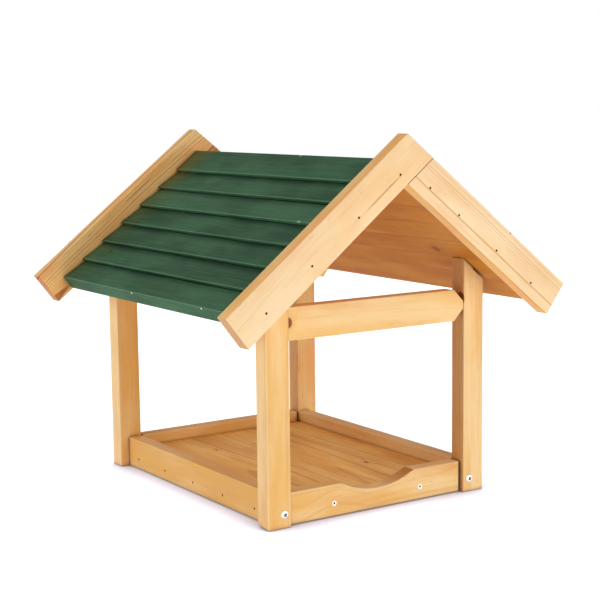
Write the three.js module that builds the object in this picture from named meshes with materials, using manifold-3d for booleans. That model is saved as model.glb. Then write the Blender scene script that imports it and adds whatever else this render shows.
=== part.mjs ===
// Bird table: an open seed tray between four corner posts, under a pitched roof of lapped boards.
// Millimetres, +Z up. The origin is on the ground, below the middle of the tray.
// The front, with the scalloped tray board, faces -Y, and left is -X.
import * as THREE from "three";
import { mergeVertices } from "three/addons/utils/BufferGeometryUtils.js";
import Module from "manifold-3d";

// Clearances
const gap = 0.3; // round fasteners, and between the pieces of the slopes
const overrun = 1; // how far a cutting shape starts outside the surface that it cuts

// Posts and rails
const frameWidth = 304; // X, over the outer faces of the posts
const frameDepth = 376; // Y, over the outer faces of the posts
const postWidth = 30; // X
const postDepth = 22; // Y
const railDrop = 36.3; // from the top of a post's inner face to the top of the rail
const railHeight = 37;
const railThickness = 18;
const railSetback = 1; // behind the outer faces of the posts
const railCornerCut = 13; // at 45 degrees, on both corners of one end

// Tray
const trayLift = 1; // the tray boards stop this far above the ground
const trayBoardHeight = 37;
const trayBoardThickness = 18;
const endBoardSetback = 5; // behind the outer faces of the posts
const endBoardGap = 2; // to the post, at each end
const scallopWidth = 100; // across the dip, at the board's top edge
const scallopDepth = 13;
const scallopShoulderRadius = 12;
const floorTop = 24; // above the ground
const floorThickness = 16;
const floorBoardCount = 2;

// Roof. Lengths run down the slope from the apex, and drops are square to it from the barge boards' top edges
const pitch = THREE.MathUtils.degToRad(38);
const apexHeight = 428; // above the ground
const gableOverhang = 52; // Y, from the posts' outer faces to the barge boards' outer faces
const eaveOverhang = 44.6; // down the slope, from the posts' outer faces to the lowest roof boards' butts
const bargeOverhang = 24.5; // down the slope, past those butts
const bargeWidth = 43;
const bargeThickness = 18;
const roofBoardDrop = 22; // to the top of each board at its butt
const roofBoardThickness = 19;
const ridgeBoardLength = 56.5; // from the apex to the top board's butt
const roofBoardCount = 7; // on each slope
const roofBoardStep = 4; // a board is this much thinner at its head than at its butt
const lapLength = 11.5; // of each lip over the tongue of the board below
const lapThickness = 9; // of the lip at the butt

// Post screws: pan heads with a cross recess, through a post into the end of a tray side board
const postScrewHeight = 16; // above the ground
const postScrewHeadRadius = 4.8;
const postScrewHeadHeight = 2.6;
const postScrewRadius = 2.25;
const postScrewLength = 50; // below its head
const postScrewTip = 5;
const postScrewRecessSpan = 5;
const postScrewRecessWidth = 1.1;
const postScrewRecessDepth = 1.6;

// Floor screws: countersunk heads, through a tray end board into the end of a floor board
const floorScrewHeadRadius = 3;
const floorScrewHeadHeight = 1.8;
const floorScrewRadius = 1.5;
const floorScrewLength = 40; // with its head
const floorScrewTip = 3;
const floorScrewRecessSpan = 3.2;
const floorScrewRecessWidth = 0.8;
const floorScrewRecessDepth = 1.1;

// Nails: small heads, punched below the surface
const nailSetDepth = 0.8;
const nailHeadRadius = 1.2;
const nailHeadHeight = 1;
const nailRadius = 0.9;
const nailLength = 40; // with its head
const nailTip = 3;

// Each barge nail enters the end of one roof board, counted from the ridge, at a share of the exposure below
// the butt of the board above, and at a share of the board's thickness below its butt's top
const bargeNailBoards = { left: [0, 2, 4, 6], right: [1, 2, 4, 6] };
const bargeNailShares = { left: [0.4, 0.38, 0.54, 0.58], right: [0.13, 0.59, 0.56, 0.44] };
const bargeNailDropShare = 0.34;
// Each roof nail enters the top of a post at this share of the post's width from its inner face
const roofNailShare = 0.65;

// Facets
const screwSides = 24;
const nailSides = 10;
const headSteps = 5; // from the middle of a pan head to its rim
const arcSegments = 6;

// Worked out from the sizes above
const sides = [
  { name: "left", hand: -1 },
  { name: "right", hand: 1 },
];
const ends = [
  { name: "front", facing: -1, turn: 0 },
  { name: "back", facing: 1, turn: Math.PI },
];
const postX = (frameWidth - postWidth) / 2;
const postY = (frameDepth - postDepth) / 2;
const openingWidth = frameWidth - 2 * postWidth; // between the posts of one end
const sideBoardLength = frameDepth - 2 * postDepth;
const sideBoardX = (openingWidth + trayBoardThickness) / 2;
const endBoardY = (frameDepth - trayBoardThickness) / 2 - endBoardSetback;
const floorLength = 2 * endBoardY - trayBoardThickness;
const floorBoardWidth = openingWidth / floorBoardCount;
const floorMiddle = floorTop - floorThickness / 2;
const roofUnderside = roofBoardDrop + roofBoardThickness; // square to the slope
const eaveLength = slopeLength(frameWidth / 2) + eaveOverhang; // from the apex
const bargeLength = eaveLength + bargeOverhang; // along its top edge
const roofBoardExposure = (eaveLength - ridgeBoardLength) / (roofBoardCount - 1); // from one butt to the next
const roofDepth = frameDepth + 2 * gableOverhang; // Y, over the outer faces of the barge boards
const roofBoardLength = roofDepth - 2 * (bargeThickness + gap);
const lipUnderside = roofBoardDrop + lapThickness;
const ridgeGap = gap / 2 / Math.cos(pitch);

// The length down the slope at which the roof's underside lies a distance from the middle
function slopeLength(x) {
  return (x + roofUnderside * Math.sin(pitch)) / Math.cos(pitch);
}

const wasm = await Module();
wasm.setup();

// Solids and cuts

// A closed geometry as a solid
function solidFrom(geometry) {
  const bare = geometry.index ? geometry.toNonIndexed() : geometry.clone();
  bare.deleteAttribute("normal");
  bare.deleteAttribute("uv");
  const merged = mergeVertices(bare);
  const vertProperties = merged.getAttribute("position").array;
  const triVerts = new Uint32Array(merged.index.array);
  return new wasm.Manifold(new wasm.Mesh({ numProp: 3, vertProperties, triVerts }));
}

// A solid as a geometry that a mesh can show
function geometryFrom(solid) {
  const { vertProperties, triVerts } = solid.getMesh();
  const geometry = new THREE.BufferGeometry();
  geometry.setAttribute("position", new THREE.BufferAttribute(vertProperties, 3));
  geometry.setIndex(new THREE.BufferAttribute(triVerts, 1));
  geometry.computeVertexNormals();
  return geometry;
}

// One geometry less all the others
function cut(geometry, tools) {
  const hole = tools.map(solidFrom).reduce((joined, tool) => joined.add(tool));
  return geometryFrom(solidFrom(geometry).subtract(hole));
}

// An outline in X and Z, made `depth` thick along Y and centred on Y = 0
function extrudeAlongY(shape, depth) {
  const options = { depth, bevelEnabled: false, curveSegments: arcSegments };
  const geometry = new THREE.ExtrudeGeometry(shape, options);
  return geometry.rotateX(Math.PI / 2).translate(0, depth / 2, 0);
}

function shapeFrom(points) {
  return new THREE.Shape(points.map(([x, z]) => new THREE.Vector2(x, z)));
}

// A turned piece along +Y, from points of radius and distance that start and end on the axis
function turned(points, segments) {
  return new THREE.LatheGeometry(
    points.map(([radius, y]) => new THREE.Vector2(radius, y)),
    segments,
  );
}

const root = new THREE.Group();
root.name = "bird_table";

// Materials

function pine() {
  return new THREE.MeshStandardMaterial({ color: 0xe6b872, roughness: 0.6, metalness: 0 });
}

function palePine() {
  return new THREE.MeshStandardMaterial({ color: 0xf2cd9a, roughness: 0.65, metalness: 0 });
}

function floorPine() {
  return new THREE.MeshStandardMaterial({ color: 0xc8935a, roughness: 0.65, metalness: 0 });
}

function greenStain() {
  return new THREE.MeshStandardMaterial({ color: 0x2f5a40, roughness: 0.5, metalness: 0 });
}

function zincPlate() {
  return new THREE.MeshStandardMaterial({ color: 0xc9ccc6, roughness: 0.35, metalness: 1 });
}

function nailWire() {
  return new THREE.MeshStandardMaterial({ color: 0x6d655c, roughness: 0.5, metalness: 1 });
}

// One named piece, placed in its parent
function place(parent, name, geometry, material, position = [0, 0, 0], turn = 0) {
  const mesh = new THREE.Mesh(geometry, material);
  mesh.name = name;
  mesh.position.set(...position);
  mesh.rotation.z = turn;
  parent.add(mesh);
}

// Fasteners. Each lies along +Y. Y = 0 is the seat of a pan head, and the face of any other head

// Two crossed slots, cut from the face at `top` down to `depth`
function crossRecess(top, span, width, depth) {
  const height = depth + overrun;
  return [
    [span, width],
    [width, span],
  ].map(([x, z]) => new THREE.BoxGeometry(x, height, z).translate(0, top + (depth - overrun) / 2, 0));
}

function postScrew() {
  const head = [];
  for (let step = 0; step <= headSteps; step += 1) {
    const angle = ((step / headSteps) * Math.PI) / 2;
    head.push([postScrewHeadRadius * Math.sin(angle), -postScrewHeadHeight * Math.cos(angle)]);
  }
  const body = turned(
    [
      ...head,
      [postScrewRadius, 0],
      [postScrewRadius, postScrewLength - postScrewTip],
      [0, postScrewLength],
    ],
    screwSides,
  );
  const recess = crossRecess(
    -postScrewHeadHeight,
    postScrewRecessSpan,
    postScrewRecessWidth,
    postScrewRecessDepth,
  );
  return cut(body, recess);
}

function floorScrew() {
  const body = turned(
    [
      [0, 0],
      [floorScrewHeadRadius, 0],
      [floorScrewRadius, floorScrewHeadHeight],
      [floorScrewRadius, floorScrewLength - floorScrewTip],
      [0, floorScrewLength],
    ],
    screwSides,
  );
  return cut(body, crossRecess(0, floorScrewRecessSpan, floorScrewRecessWidth, floorScrewRecessDepth));
}

function nail() {
  return turned(
    [
      [0, 0],
      [nailHeadRadius, 0],
      [nailHeadRadius, nailHeadHeight],
      [nailRadius, nailHeadHeight],
      [nailRadius, nailLength - nailTip],
      [0, nailLength],
    ],
    nailSides,
  );
}

// The holes that take them

function postScrewHole() {
  return turned(
    [
      [0, -overrun],
      [postScrewRadius + gap, -overrun],
      [postScrewRadius + gap, postScrewLength + gap],
      [0, postScrewLength + gap],
    ],
    screwSides,
  );
}

function floorScrewHole() {
  return turned(
    [
      [0, -overrun],
      [floorScrewHeadRadius + gap, -overrun],
      [floorScrewHeadRadius + gap, 0],
      [floorScrewRadius + gap, floorScrewHeadHeight],
      [floorScrewRadius + gap, floorScrewLength + gap],
      [0, floorScrewLength + gap],
    ],
    screwSides,
  );
}

function nailHole() {
  const start = -nailSetDepth - overrun;
  return turned(
    [
      [0, start],
      [nailHeadRadius + gap, start],
      [nailHeadRadius + gap, nailHeadHeight],
      [nailRadius + gap, nailHeadHeight],
      [nailRadius + gap, nailLength + gap],
      [0, nailLength + gap],
    ],
    nailSides,
  );
}

// Both slopes share one layout. A point of a slope is a length down it and a drop square to it.
// In a slope's own frame, X points down the right slope and up the left one, and Z is square to the slope

function slopeFrame(hand) {
  const frame = new THREE.Group();
  frame.position.z = apexHeight;
  frame.rotation.y = hand * pitch;
  frame.updateMatrix();
  return frame;
}

function slopeShape(hand, points) {
  return shapeFrom(points.map(([length, drop]) => [hand * length, -drop]));
}

// The drop of a roof board's top, at a length past the butt of the board above
function topDrop(past) {
  return roofBoardDrop + roofBoardStep * (1 - past / roofBoardExposure);
}

// The length down the slope to a board's butt. Boards count from 0 at the ridge
function buttLength(board) {
  return ridgeBoardLength + board * roofBoardExposure;
}

// Each roof nail enters the post's top at the same place, with its head below the board's top
const roofNailLength = slopeLength(openingWidth / 2 + roofNailShare * postWidth);
const roofNailPast = (roofNailLength - buttLength(0)) % roofBoardExposure;
const roofNailDrop = topDrop(roofNailPast) + nailSetDepth;

// A nail, or the hole that takes it, turned from +Y to point square into the slope
function intoSlope(geometry) {
  return geometry.rotateX(-Math.PI / 2);
}

// Where the barge nails of one slope go, as lengths down it
function bargeNailLengths(side) {
  return bargeNailBoards[side.name].map(
    (board, i) => buttLength(board - 1) + bargeNailShares[side.name][i] * roofBoardExposure,
  );
}
const bargeNailDrop = roofBoardDrop + bargeNailDropShare * roofBoardThickness;
const bargeNailY = roofDepth / 2 - nailSetDepth;

// All the nail holes of one slope, in its own frame
function slopeNailHoles(side) {
  const holes = [];
  for (const end of ends) {
    for (const length of bargeNailLengths(side)) {
      const hole = nailHole().rotateZ(end.turn);
      holes.push(hole.translate(side.hand * length, end.facing * bargeNailY, -bargeNailDrop));
    }
    const hole = intoSlope(nailHole());
    holes.push(hole.translate(side.hand * roofNailLength, end.facing * postY, -roofNailDrop));
  }
  return holes;
}

// Posts

// The height of a post's top under the roof, at a distance from the middle
function postTop(x) {
  return apexHeight - (roofUnderside + gap) / Math.cos(pitch) - x * Math.tan(pitch);
}

// A right-hand post about its own middle. A left-hand one is the same piece, turned half round
function post() {
  const inner = postX - postWidth / 2;
  const outer = postX + postWidth / 2;
  const outline = shapeFrom([
    [-postWidth / 2, 0],
    [postWidth / 2, 0],
    [postWidth / 2, postTop(outer)],
    [-postWidth / 2, postTop(inner)],
  ]);
  const screwHole = postScrewHole().translate(sideBoardX - postX, -postDepth / 2, postScrewHeight);
  const roofNailHole = intoSlope(nailHole())
    .translate(roofNailLength, 0, -roofNailDrop)
    .applyMatrix4(slopeFrame(1).matrix)
    .translate(-postX, 0, 0);
  return cut(extrudeAlongY(outline, postDepth), [screwHole, roofNailHole]);
}

for (const end of ends) {
  for (const side of sides) {
    const position = [side.hand * postX, end.facing * postY, 0];
    const turn = side.hand > 0 ? 0 : Math.PI;
    place(root, `${end.name}_${side.name}_post`, post(), pine(), position, turn);
  }
}

// Rails. Each joins the two posts of one end, high up

function rail() {
  const half = openingWidth / 2;
  const outline = shapeFrom([
    [-half, 0],
    [half - railCornerCut, 0],
    [half, railCornerCut],
    [half, railHeight - railCornerCut],
    [half - railCornerCut, railHeight],
    [-half, railHeight],
  ]);
  return extrudeAlongY(outline, railThickness);
}

for (const end of ends) {
  const y = end.facing * ((frameDepth - railThickness) / 2 - railSetback);
  const underside = postTop(openingWidth / 2) - railDrop - railHeight;
  place(root, `${end.name}_rail`, rail(), pine(), [0, y, underside], end.turn);
}

// Tray

// The side boards butt between the front and back posts and take a post screw in each end
function traySideBoard() {
  const board = new THREE.BoxGeometry(trayBoardThickness, sideBoardLength, trayBoardHeight);
  const holes = ends.map((end) =>
    postScrewHole()
      .rotateZ(end.turn)
      .translate(0, (end.facing * frameDepth) / 2, postScrewHeight - trayLift - trayBoardHeight / 2),
  );
  return cut(board, holes);
}

for (const side of sides) {
  const position = [side.hand * sideBoardX, 0, trayLift + trayBoardHeight / 2];
  place(root, `tray_${side.name}_board`, traySideBoard(), pine(), position);
}

// The middles of the floor boards in X, where the floor screws go too
const floorBoardMiddles = [];
for (let board = 0; board < floorBoardCount; board += 1) {
  floorBoardMiddles.push((board + 1 / 2) * floorBoardWidth - openingWidth / 2);
}

// A dip with a round bottom and round shoulders, drawn from the right along the top edge
function addScallop(shape) {
  const radius = (scallopWidth ** 2 / 4 + scallopDepth ** 2) / (2 * scallopDepth);
  const reach = radius + scallopShoulderRadius;
  const shoulderX = Math.sqrt(reach ** 2 - (reach - scallopDepth) ** 2);
  const shoulderZ = trayBoardHeight - scallopShoulderRadius;
  const sweep = Math.asin(shoulderX / reach);
  const up = Math.PI / 2;
  shape.lineTo(shoulderX, trayBoardHeight);
  shape.absarc(shoulderX, shoulderZ, scallopShoulderRadius, up, up + sweep, false);
  shape.absarc(0, trayBoardHeight - scallopDepth + radius, radius, sweep - up, -sweep - up, true);
  shape.absarc(-shoulderX, shoulderZ, scallopShoulderRadius, up - sweep, up, false);
}

// The outer face is towards -Y. The floor screws pass through into the ends of the floor boards
function trayEndBoard(scalloped) {
  const half = openingWidth / 2 - endBoardGap;
  const shape = new THREE.Shape();
  shape.moveTo(-half, 0);
  shape.lineTo(half, 0);
  shape.lineTo(half, trayBoardHeight);
  if (scalloped) addScallop(shape);
  shape.lineTo(-half, trayBoardHeight);
  const holes = floorBoardMiddles.map((x) =>
    floorScrewHole().translate(x, -trayBoardThickness / 2, floorMiddle - trayLift),
  );
  return cut(extrudeAlongY(shape, trayBoardThickness), holes);
}

for (const end of ends) {
  const position = [0, end.facing * endBoardY, trayLift];
  place(root, `tray_${end.name}_board`, trayEndBoard(end.facing < 0), pine(), position, end.turn);
}

function floorBoard() {
  const board = new THREE.BoxGeometry(floorBoardWidth, floorLength, floorThickness);
  const holes = ends.map((end) =>
    floorScrewHole()
      .rotateZ(end.turn)
      .translate(0, end.facing * (endBoardY + trayBoardThickness / 2), 0),
  );
  return cut(board, holes);
}

floorBoardMiddles.forEach((x, i) => {
  place(root, `floor_board_${i + 1}`, floorBoard(), floorPine(), [x, 0, floorMiddle]);
});

// Roof

// A point on a ridge board's upright end, whose length down the slope grows with its drop
function ridgePoint(drop) {
  return [drop * Math.tan(pitch) + ridgeGap, drop];
}

// The ridge board is mitred against the one on the other slope, and no board laps over it
function ridgeBoardPoints() {
  const butt = buttLength(0);
  return [
    ridgePoint(roofUnderside),
    ridgePoint(roofBoardDrop),
    [butt, roofBoardDrop],
    [butt, lipUnderside],
    [butt - lapLength, lipUnderside],
    [butt - lapLength, roofUnderside],
  ];
}

// A lapped board has a tongue under the board above and, but for the eave board, a lip over the one below
function lappedBoardPoints(board) {
  const above = buttLength(board - 1) + gap;
  const butt = buttLength(board);
  const head = [
    [above - lapLength, roofUnderside],
    [above - lapLength, lipUnderside + gap],
    [above, lipUnderside + gap],
    [above, topDrop(0)],
    [butt, roofBoardDrop],
  ];
  if (board === roofBoardCount - 1) return [...head, [butt, roofUnderside]];
  return [...head, [butt, lipUnderside], [butt - lapLength, lipUnderside], [butt - lapLength, roofUnderside]];
}

// The left barge board runs through at the apex, flush with the right one's top edge
function throughBargePoints() {
  return [
    [0, 0],
    [bargeLength, 0],
    [bargeLength, bargeWidth],
    [-bargeWidth / Math.tan(2 * pitch), bargeWidth],
  ];
}

// The right barge board butts on the left one's lower edge
function buttedBargePoints() {
  const reach = bargeWidth + gap;
  return [
    [reach / Math.sin(2 * pitch), 0],
    [bargeLength, 0],
    [bargeLength, bargeWidth],
    [(reach - bargeWidth * Math.cos(2 * pitch)) / Math.sin(2 * pitch), bargeWidth],
  ];
}

for (const side of sides) {
  const slope = slopeFrame(side.hand);
  const holes = slopeNailHoles(side);
  root.add(slope);

  for (let board = 0; board < roofBoardCount; board += 1) {
    const points = board === 0 ? ridgeBoardPoints() : lappedBoardPoints(board);
    const geometry = cut(extrudeAlongY(slopeShape(side.hand, points), roofBoardLength), holes);
    place(slope, `roof_${side.name}_board_${board + 1}`, geometry, greenStain());
  }

  const bargePoints = side.hand < 0 ? throughBargePoints() : buttedBargePoints();
  for (const end of ends) {
    const y = (end.facing * (roofDepth - bargeThickness)) / 2;
    const barge = extrudeAlongY(slopeShape(side.hand, bargePoints), bargeThickness).translate(0, y, 0);
    place(slope, `${end.name}_${side.name}_barge_board`, cut(barge, holes), palePine());

    bargeNailLengths(side).forEach((length, i) => {
      const position = [side.hand * length, end.facing * bargeNailY, -bargeNailDrop];
      place(slope, `${end.name}_${side.name}_barge_nail_${i + 1}`, nail(), nailWire(), position, end.turn);
    });
    const position = [side.hand * roofNailLength, end.facing * postY, -roofNailDrop];
    place(slope, `${end.name}_${side.name}_roof_nail`, intoSlope(nail()), nailWire(), position);
  }
}

// Screws

for (const end of ends) {
  for (const side of sides) {
    const position = [side.hand * sideBoardX, (end.facing * frameDepth) / 2, postScrewHeight];
    place(root, `${end.name}_${side.name}_post_screw`, postScrew(), zincPlate(), position, end.turn);
  }
  floorBoardMiddles.forEach((x, i) => {
    const position = [x, end.facing * (endBoardY + trayBoardThickness / 2), floorMiddle];
    place(root, `${end.name}_floor_screw_${i + 1}`, floorScrew(), zincPlate(), position, end.turn);
  });
}

export default root;
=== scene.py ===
# %% [markdown]
# # A wooden bird table
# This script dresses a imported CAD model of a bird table: a seed tray between four posts, under a pitched
# roof of lapped boards. The CAD gives every size and place. Blender adds what a saw, a plane, a stain brush
# and a few seasons give the real one: eased arrises, growth rings, knots, punched nails and light.
#
# The first step loads the CAD as a fixed frame. Its nodes are never moved. A new piece stands where its node
# stands, so nothing has to be fitted by eye.

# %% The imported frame
import math
import random

import bmesh
import bpy
from mathutils import Matrix, Vector, noise


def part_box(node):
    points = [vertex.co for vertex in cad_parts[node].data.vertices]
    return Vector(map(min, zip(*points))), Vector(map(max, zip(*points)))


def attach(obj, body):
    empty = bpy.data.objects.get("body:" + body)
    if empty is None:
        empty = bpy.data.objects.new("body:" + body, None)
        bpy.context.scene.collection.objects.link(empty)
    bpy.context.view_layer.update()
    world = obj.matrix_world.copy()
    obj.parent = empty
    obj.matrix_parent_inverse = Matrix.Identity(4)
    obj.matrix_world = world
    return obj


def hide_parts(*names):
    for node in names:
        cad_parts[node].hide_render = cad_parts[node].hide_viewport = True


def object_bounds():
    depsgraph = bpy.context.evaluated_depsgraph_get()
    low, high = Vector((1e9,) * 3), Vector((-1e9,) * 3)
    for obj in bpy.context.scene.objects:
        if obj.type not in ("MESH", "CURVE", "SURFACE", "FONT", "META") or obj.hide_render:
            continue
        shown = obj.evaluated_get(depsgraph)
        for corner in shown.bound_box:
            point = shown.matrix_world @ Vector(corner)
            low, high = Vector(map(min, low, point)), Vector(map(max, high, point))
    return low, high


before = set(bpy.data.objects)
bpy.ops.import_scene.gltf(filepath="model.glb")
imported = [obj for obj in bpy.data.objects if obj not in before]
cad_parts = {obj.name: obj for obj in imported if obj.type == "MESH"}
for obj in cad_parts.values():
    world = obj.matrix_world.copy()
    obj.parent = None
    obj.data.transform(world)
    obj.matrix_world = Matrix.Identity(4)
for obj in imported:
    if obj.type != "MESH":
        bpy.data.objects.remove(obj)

MM = 0.001
X_AXIS = Vector((1, 0, 0))
Y_AXIS = Vector((0, 1, 0))
Z_AXIS = Vector((0, 0, 1))
cad_box = [list(corner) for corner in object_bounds()]
print("CAD box in metres:", cad_box, "nodes:", len(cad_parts))

# %% [markdown]
# ## The camera
# The photograph was taken from the front left, a little above the tray. Its straight edges were solved for
# the camera: how far round it stands, how high it looks down, how much it leans, how far away it is and how
# long its lens is. Three unit vectors (to the right, up and back) make its turn, and a lens in millimetres
# on a 36 mm sensor makes its zoom. Nothing here depends on the size of the picture.

# %% Camera
CAMERA_AZIMUTH = math.radians(-33.54)
CAMERA_ELEVATION = math.radians(7.78)
CAMERA_ROLL = math.radians(-0.69)
CAMERA_DISTANCE = 1785.45 * MM
CAMERA_AIM_RIGHT = 14.36 * MM
CAMERA_AIM_HEIGHT = 221.29 * MM
CAMERA_LENS = 87.09  # millimetres, on a 36 mm sensor


def from_angles(azimuth, elevation):
    level = math.cos(elevation)
    return Vector((math.sin(azimuth) * level, -math.cos(azimuth) * level, math.sin(elevation)))


back = from_angles(CAMERA_AZIMUTH, CAMERA_ELEVATION)
level_right = (-back).cross(Z_AXIS).normalized()
level_up = level_right.cross(-back)
right = level_right * math.cos(CAMERA_ROLL) + level_up * math.sin(CAMERA_ROLL)
up = level_up * math.cos(CAMERA_ROLL) - level_right * math.sin(CAMERA_ROLL)
place = Z_AXIS * CAMERA_AIM_HEIGHT + level_right * CAMERA_AIM_RIGHT + back * CAMERA_DISTANCE

camera_data = bpy.data.cameras.new("camera")
camera_data.lens = CAMERA_LENS
camera_data.sensor_width = 36
camera = bpy.data.objects.new("camera", camera_data)
camera.matrix_world = Matrix.Translation(place) @ Matrix((right, up, back)).transposed().to_4x4()
bpy.context.scene.collection.objects.link(camera)
bpy.context.scene.camera = camera
print("camera at", [round(value, 3) for value in place])

# %% [markdown]
# ## Nodes and colours
# Every finish below is a small tree of nodes. One helper adds a node: it takes the node's kind, its inputs
# and its settings. An input is a number, or another node, whose result is then linked in, or one output of a
# node that has several. Four more add the kinds that come back most: a calculation, a soft fade from one
# value to another, a blend of two colours, and the reading of a board's attributes. Colours are written as
# they look on a screen, in hex, and Blender works in linear light, so "linear" turns the first into the
# second.

# %% Nodes and colours
MATHS = "ShaderNodeMath"
VECTOR = "ShaderNodeVectorMath"
RANGE = "ShaderNodeMapRange"
NOISE = "ShaderNodeTexNoise"
MIX = "ShaderNodeMix"
FIRST_COLOUR = 6  # where a Mix node takes its two colours
SECOND_COLOUR = 7


def add(tree, kind, inputs=(), **settings):
    node = tree.nodes.new(kind)
    for name, value in settings.items():
        setattr(node, name, value)
    for name, value in inputs.items() if isinstance(inputs, dict) else enumerate(inputs):
        if isinstance(value, bpy.types.Node):
            value = next(output for output in value.outputs if output.enabled)
        if isinstance(value, bpy.types.NodeSocket):
            tree.links.new(value, node.inputs[name])
        else:
            node.inputs[name].default_value = value
    return node


def maths(tree, operation, *inputs, kind=MATHS, **settings):
    return add(tree, kind, inputs, operation=operation, **settings)


def fade(tree, value, *ends):
    return add(tree, RANGE, (value, *ends), interpolation_type="SMOOTHSTEP")


def blend(tree, share, first, second):
    return add(tree, MIX, {0: share, FIRST_COLOUR: first, SECOND_COLOUR: second}, data_type="RGBA")


def read(tree, output, *names):
    return [add(tree, "ShaderNodeAttribute", attribute_name=name).outputs[output] for name in names]


def linear(hex_colour):
    channels = [int(hex_colour[i : i + 2], 16) / 255 for i in (1, 3, 5)]
    return [c / 12.92 if c <= 0.04045 else ((c + 0.055) / 1.055) ** 2.4 for c in channels] + [1]


def new_material(name):
    material = bpy.data.materials.new(name)
    material.use_nodes = True
    material.node_tree.nodes.clear()
    return material, material.node_tree


# %% [markdown]
# ## From shape to object
# A shape is made on a bmesh, Blender's workbench for points, edges and faces. When it is done it is kept as a
# mesh with its finish, and an object puts that into the scene. The floor, every piece and every cutter go
# this way, so one helper does it. The object stays at the origin, because its place is in its mesh.

# %% From bmesh to object
def as_object(bm, name, finish=None):
    mesh = bpy.data.meshes.new(name)
    bm.to_mesh(mesh)
    bm.free()
    if finish:
        mesh.materials.append(finish)
    thing = bpy.data.objects.new(name, mesh)
    bpy.context.scene.collection.objects.link(thing)
    return thing


# %% [markdown]
# ## The studio
# The table stands on a white sweep that throws back much of the light it gets: the eaves and the left sides
# are bright from below. The floor is a plain matt white with a soft light of its own for that. Through Light
# Path, the camera and the screws' reflections see it at a strength that just reaches white. Where the table
# covers the floor from the sky, it is less and bluer. That keeps the soft, cool shadow round the feet and the
# dark line under the tray boards. The world does the same: a little light for the table, pure white for the
# eye.

# %% Seen by the eye
def seen_by_eye(tree):
    path = add(tree, "ShaderNodeLightPath")
    seen = maths(tree, "ADD", path.outputs["Is Camera Ray"], path.outputs["Is Glossy Ray"])
    return maths(tree, "ADD", seen, path.outputs["Is Transmission Ray"], use_clamp=True)


# %% Floor
WHITE = linear("#ffffff")
FLOOR_COLOUR = linear("#e8edf6")
FLOOR_GLOW = 0.56
FLOOR_SEEN = 0.95
FLOOR_REACH = 6.0  # metres
SHADOW_TINT = linear("#dbe2ff")
SHADOW_REACH = 80 * MM

floor_material, tree = new_material("matt_white_sweep")
sky = add(tree, "ShaderNodeAmbientOcclusion", {"Distance": SHADOW_REACH}).outputs["AO"]
shown = add(tree, RANGE, [sky, 0.38, 0.86, 0.0, FLOOR_SEEN])
glow = add(tree, MIX, {0: seen_by_eye(tree), 2: FLOOR_GLOW, 3: shown})
matt = add(tree, "ShaderNodeBsdfDiffuse", {"Color": FLOOR_COLOUR})
open_sky = fade(tree, sky, 0.65, 0.95, 0.0, 1.0)
tint = blend(tree, open_sky, SHADOW_TINT, WHITE)
light = add(tree, "ShaderNodeEmission", {"Color": tint, "Strength": glow})
both = add(tree, "ShaderNodeAddShader", [matt, light])
add(tree, "ShaderNodeOutputMaterial", [both])

sweep = bmesh.new()
bmesh.ops.create_grid(sweep, x_segments=1, y_segments=1, size=FLOOR_REACH / 2)
floor = as_object(sweep, "floor", floor_material)
print("floor", FLOOR_REACH, "m across")

# %% World
WORLD_LIGHT = 0.25

world = bpy.data.worlds.new("studio")
world.use_nodes = True
bpy.context.scene.world = world
tree = world.node_tree
tree.nodes.clear()
lit = add(tree, "ShaderNodeBackground", {"Color": WHITE, "Strength": WORLD_LIGHT})
white = add(tree, "ShaderNodeBackground", {"Color": WHITE, "Strength": 1})
both = add(tree, "ShaderNodeMixShader", [seen_by_eye(tree), lit, white])
add(tree, "ShaderNodeOutputWorld", [both])
bpy.context.scene.view_settings.view_transform = "Standard"
print("world light", WORLD_LIGHT)

# %% [markdown]
# ## The lamps
# Two broad, soft lamps do the rest. The key stands low in front, and lights the gable and the posts behind
# it. The fill stands to the left and a little behind, and lights the roof and the left sides. The inside gets
# the rest of its light, which is warm, from the wood around it. A lamp's power follows from the light wanted
# at the table: P watts, D metres away, give about P / (pi D squared), and a white surface looks white at pi.

# %% Lamps
LAMP_DISTANCE = 3.0
LAMP_SIZE = 2.0
LAMPS = {
    "key": {"level": 0.44, "azimuth": 8, "elevation": 16},
    "fill": {"level": 0.38, "azimuth": -105, "elevation": 24},
}

for name, lamp in LAMPS.items():
    toward = from_angles(math.radians(lamp["azimuth"]), math.radians(lamp["elevation"]))
    data = bpy.data.lights.new(name, "AREA")
    data.shape = "SQUARE"
    data.size = LAMP_SIZE
    data.energy = lamp["level"] * math.pi * math.pi * LAMP_DISTANCE**2
    light = bpy.data.objects.new(name, data)
    light.location = toward * LAMP_DISTANCE + Z_AXIS * CAMERA_AIM_HEIGHT
    light.rotation_euler = toward.to_track_quat("Z", "Y").to_euler()
    bpy.context.scene.collection.objects.link(light)
    print(name, "lamp", round(data.energy), "W")

# %% [markdown]
# ## Pine, as sawn from the log
# Pine shows its growth rings: pale, wide early wood that darkens slowly to a thin line of late wood, then
# pale again at once. A board is a flat cut through those rings, so its pattern is worked out in the log, not
# painted on the faces: lines on one side then meet arches on the next and rings on the end, as they must.
#
# Each board carries its place in its log as an attribute, "grain": how far along, across and through, from
# the pith, in metres. "knot" is the same from the middle of a knot, in knot radii. These nodes bend the log
# slowly, bow it round the knot and number the rings by their distance from the pith. A good year makes a
# wide ring and a bad one a thin, weak line.

# %% Growth rings
BEND = (320 * MM, 75 * MM)  # length and width of the bends


def streaked(tree, grain, size, detail):
    length, width = size
    place = maths(tree, "MULTIPLY", grain, (1 / length, 1 / width, 1 / width), kind=VECTOR)
    return add(tree, NOISE, {"Vector": place, "Scale": 1, "Detail": detail})


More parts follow.
